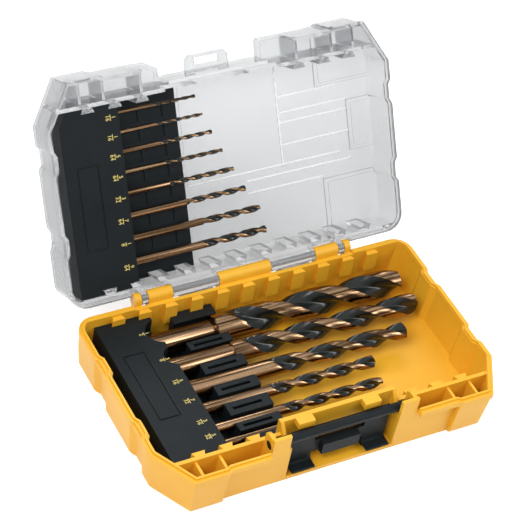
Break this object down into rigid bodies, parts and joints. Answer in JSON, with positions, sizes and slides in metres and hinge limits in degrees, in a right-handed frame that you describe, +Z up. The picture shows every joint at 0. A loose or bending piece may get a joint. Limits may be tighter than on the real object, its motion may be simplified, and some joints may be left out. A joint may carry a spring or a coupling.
{
  "type": "drill bit case",
  "caption": "Hinged plastic case with a clear lid, a swing latch and racks of twist drill bits in both halves.",
  "frame": {"origin": "middle of the tray's flat underside", "axes": "+X along the hinge to the right, +Y from the latch to the hinge, +Z up"},
  "size_m": [0.162, 0.1625, 0.1081],
  "materials": {
    "yellow_plastic": "satin moulded",
    "clear_plastic": "clear moulded",
    "black_plastic": "fine textured",
    "pin_steel": "drawn wire",
    "bronze_steel": "bronze oxide lands with black oxide flutes"
  },
  "bodies": {
    "tray": {"base_tray": "yellow_plastic", "hinge_pin": "pin_steel", "lower_rack": "black_plastic"},
    "lid": {"lid_shell": "clear_plastic", "upper_rack": "black_plastic"},
    "latch": {"latch": "black_plastic"},
    "drill_bit_1_2_inch": {"drill_bit_1_2_inch": "bronze_steel"},
    "drill_bit_3_8_inch": {"drill_bit_3_8_inch": "bronze_steel"},
    "drill_bit_5_16_inch": {"drill_bit_5_16_inch": "bronze_steel"},
    "drill_bit_7_32_inch": {"drill_bit_7_32_inch": "bronze_steel"},
    "drill_bit_3_16_inch": {"drill_bit_3_16_inch": "bronze_steel"},
    "drill_bit_5_32_inch": {"drill_bit_5_32_inch": "bronze_steel"},
    "drill_bit_9_64_inch": {"drill_bit_9_64_inch": "bronze_steel"},
    "drill_bit_1_8_inch": {"drill_bit_1_8_inch": "bronze_steel"},
    "drill_bit_7_64_inch": {"drill_bit_7_64_inch": "bronze_steel"},
    "drill_bit_3_32_inch": {"drill_bit_3_32_inch": "bronze_steel"},
    "drill_bit_5_64_inch_a": {"drill_bit_5_64_inch_a": "bronze_steel"},
    "drill_bit_5_64_inch_b": {"drill_bit_5_64_inch_b": "bronze_steel"},
    "drill_bit_1_16_inch_a": {"drill_bit_1_16_inch_a": "bronze_steel"},
    "drill_bit_1_16_inch_b": {"drill_bit_1_16_inch_b": "bronze_steel"}
  },
  "joints": [
    {"name": "lid_hinge", "type": "hinge", "parent": "tray", "child": "lid", "pos_m": [0, 0.05, 0.0229], "axis": [1, 0, 0], "range_deg": [0, 120.5]},
    {"name": "latch_swing", "type": "hinge", "parent": "tray", "child": "latch", "pos_m": [0.001, -0.0412, 0.0226], "axis": [-1, 0, 0], "range_deg": [0, 180]},
    {"name": "slide_1_2_inch", "type": "slide", "parent": "tray", "child": "drill_bit_1_2_inch", "axis": [1, 0, 0], "range_m": [0, 0.0042]},
    {"name": "slide_3_8_inch", "type": "slide", "parent": "tray", "child": "drill_bit_3_8_inch", "axis": [1, 0, 0], "range_m": [0, 0.0024]},
    {"name": "slide_5_16_inch", "type": "slide", "parent": "tray", "child": "drill_bit_5_16_inch", "axis": [1, 0, 0], "range_m": [0, 0.0092]},
    {"name": "slide_7_32_inch", "type": "slide", "parent": "tray", "child": "drill_bit_7_32_inch", "axis": [1, 0, 0], "range_m": [0, 0.0092]},
    {"name": "slide_3_16_inch", "type": "slide", "parent": "tray", "child": "drill_bit_3_16_inch", "axis": [1, 0, 0], "range_m": [0, 0.0092]},
    {"name": "slide_5_32_inch", "type": "slide", "parent": "tray", "child": "drill_bit_5_32_inch", "axis": [1, 0, 0], "range_m": [0, 0.0092]},
    {"name": "slide_9_64_inch", "type": "slide", "parent": "lid", "child": "drill_bit_9_64_inch", "axis": [1, 0, 0], "range_m": [0, 0.0092]},
    {"name": "slide_1_8_inch", "type": "slide", "parent": "lid", "child": "drill_bit_1_8_inch", "axis": [1, 0, 0], "range_m": [0, 0.0092]},
    {"name": "slide_7_64_inch", "type": "slide", "parent": "lid", "child": "drill_bit_7_64_inch", "axis": [1, 0, 0], "range_m": [0, 0.0092]},
    {"name": "slide_3_32_inch", "type": "slide", "parent": "lid", "child": "drill_bit_3_32_inch", "axis": [1, 0, 0], "range_m": [0, 0.0092]},
    {"name": "slide_5_64_inch_a", "type": "slide", "parent": "lid", "child": "drill_bit_5_64_inch_a", "axis": [1, 0, 0], "range_m": [0, 0.0092]},
    {"name": "slide_5_64_inch_b", "type": "slide", "parent": "lid", "child": "drill_bit_5_64_inch_b", "axis": [1, 0, 0], "range_m": [0, 0.0092]},
    {"name": "slide_1_16_inch_a", "type": "slide", "parent": "lid", "child": "drill_bit_1_16_inch_a", "axis": [1, 0, 0], "range_m": [0, 0.0092]},
    {"name": "slide_1_16_inch_b", "type": "slide", "parent": "lid", "child": "drill_bit_1_16_inch_b", "axis": [1, 0, 0], "range_m": [0, 0.0092]}
  ]
}
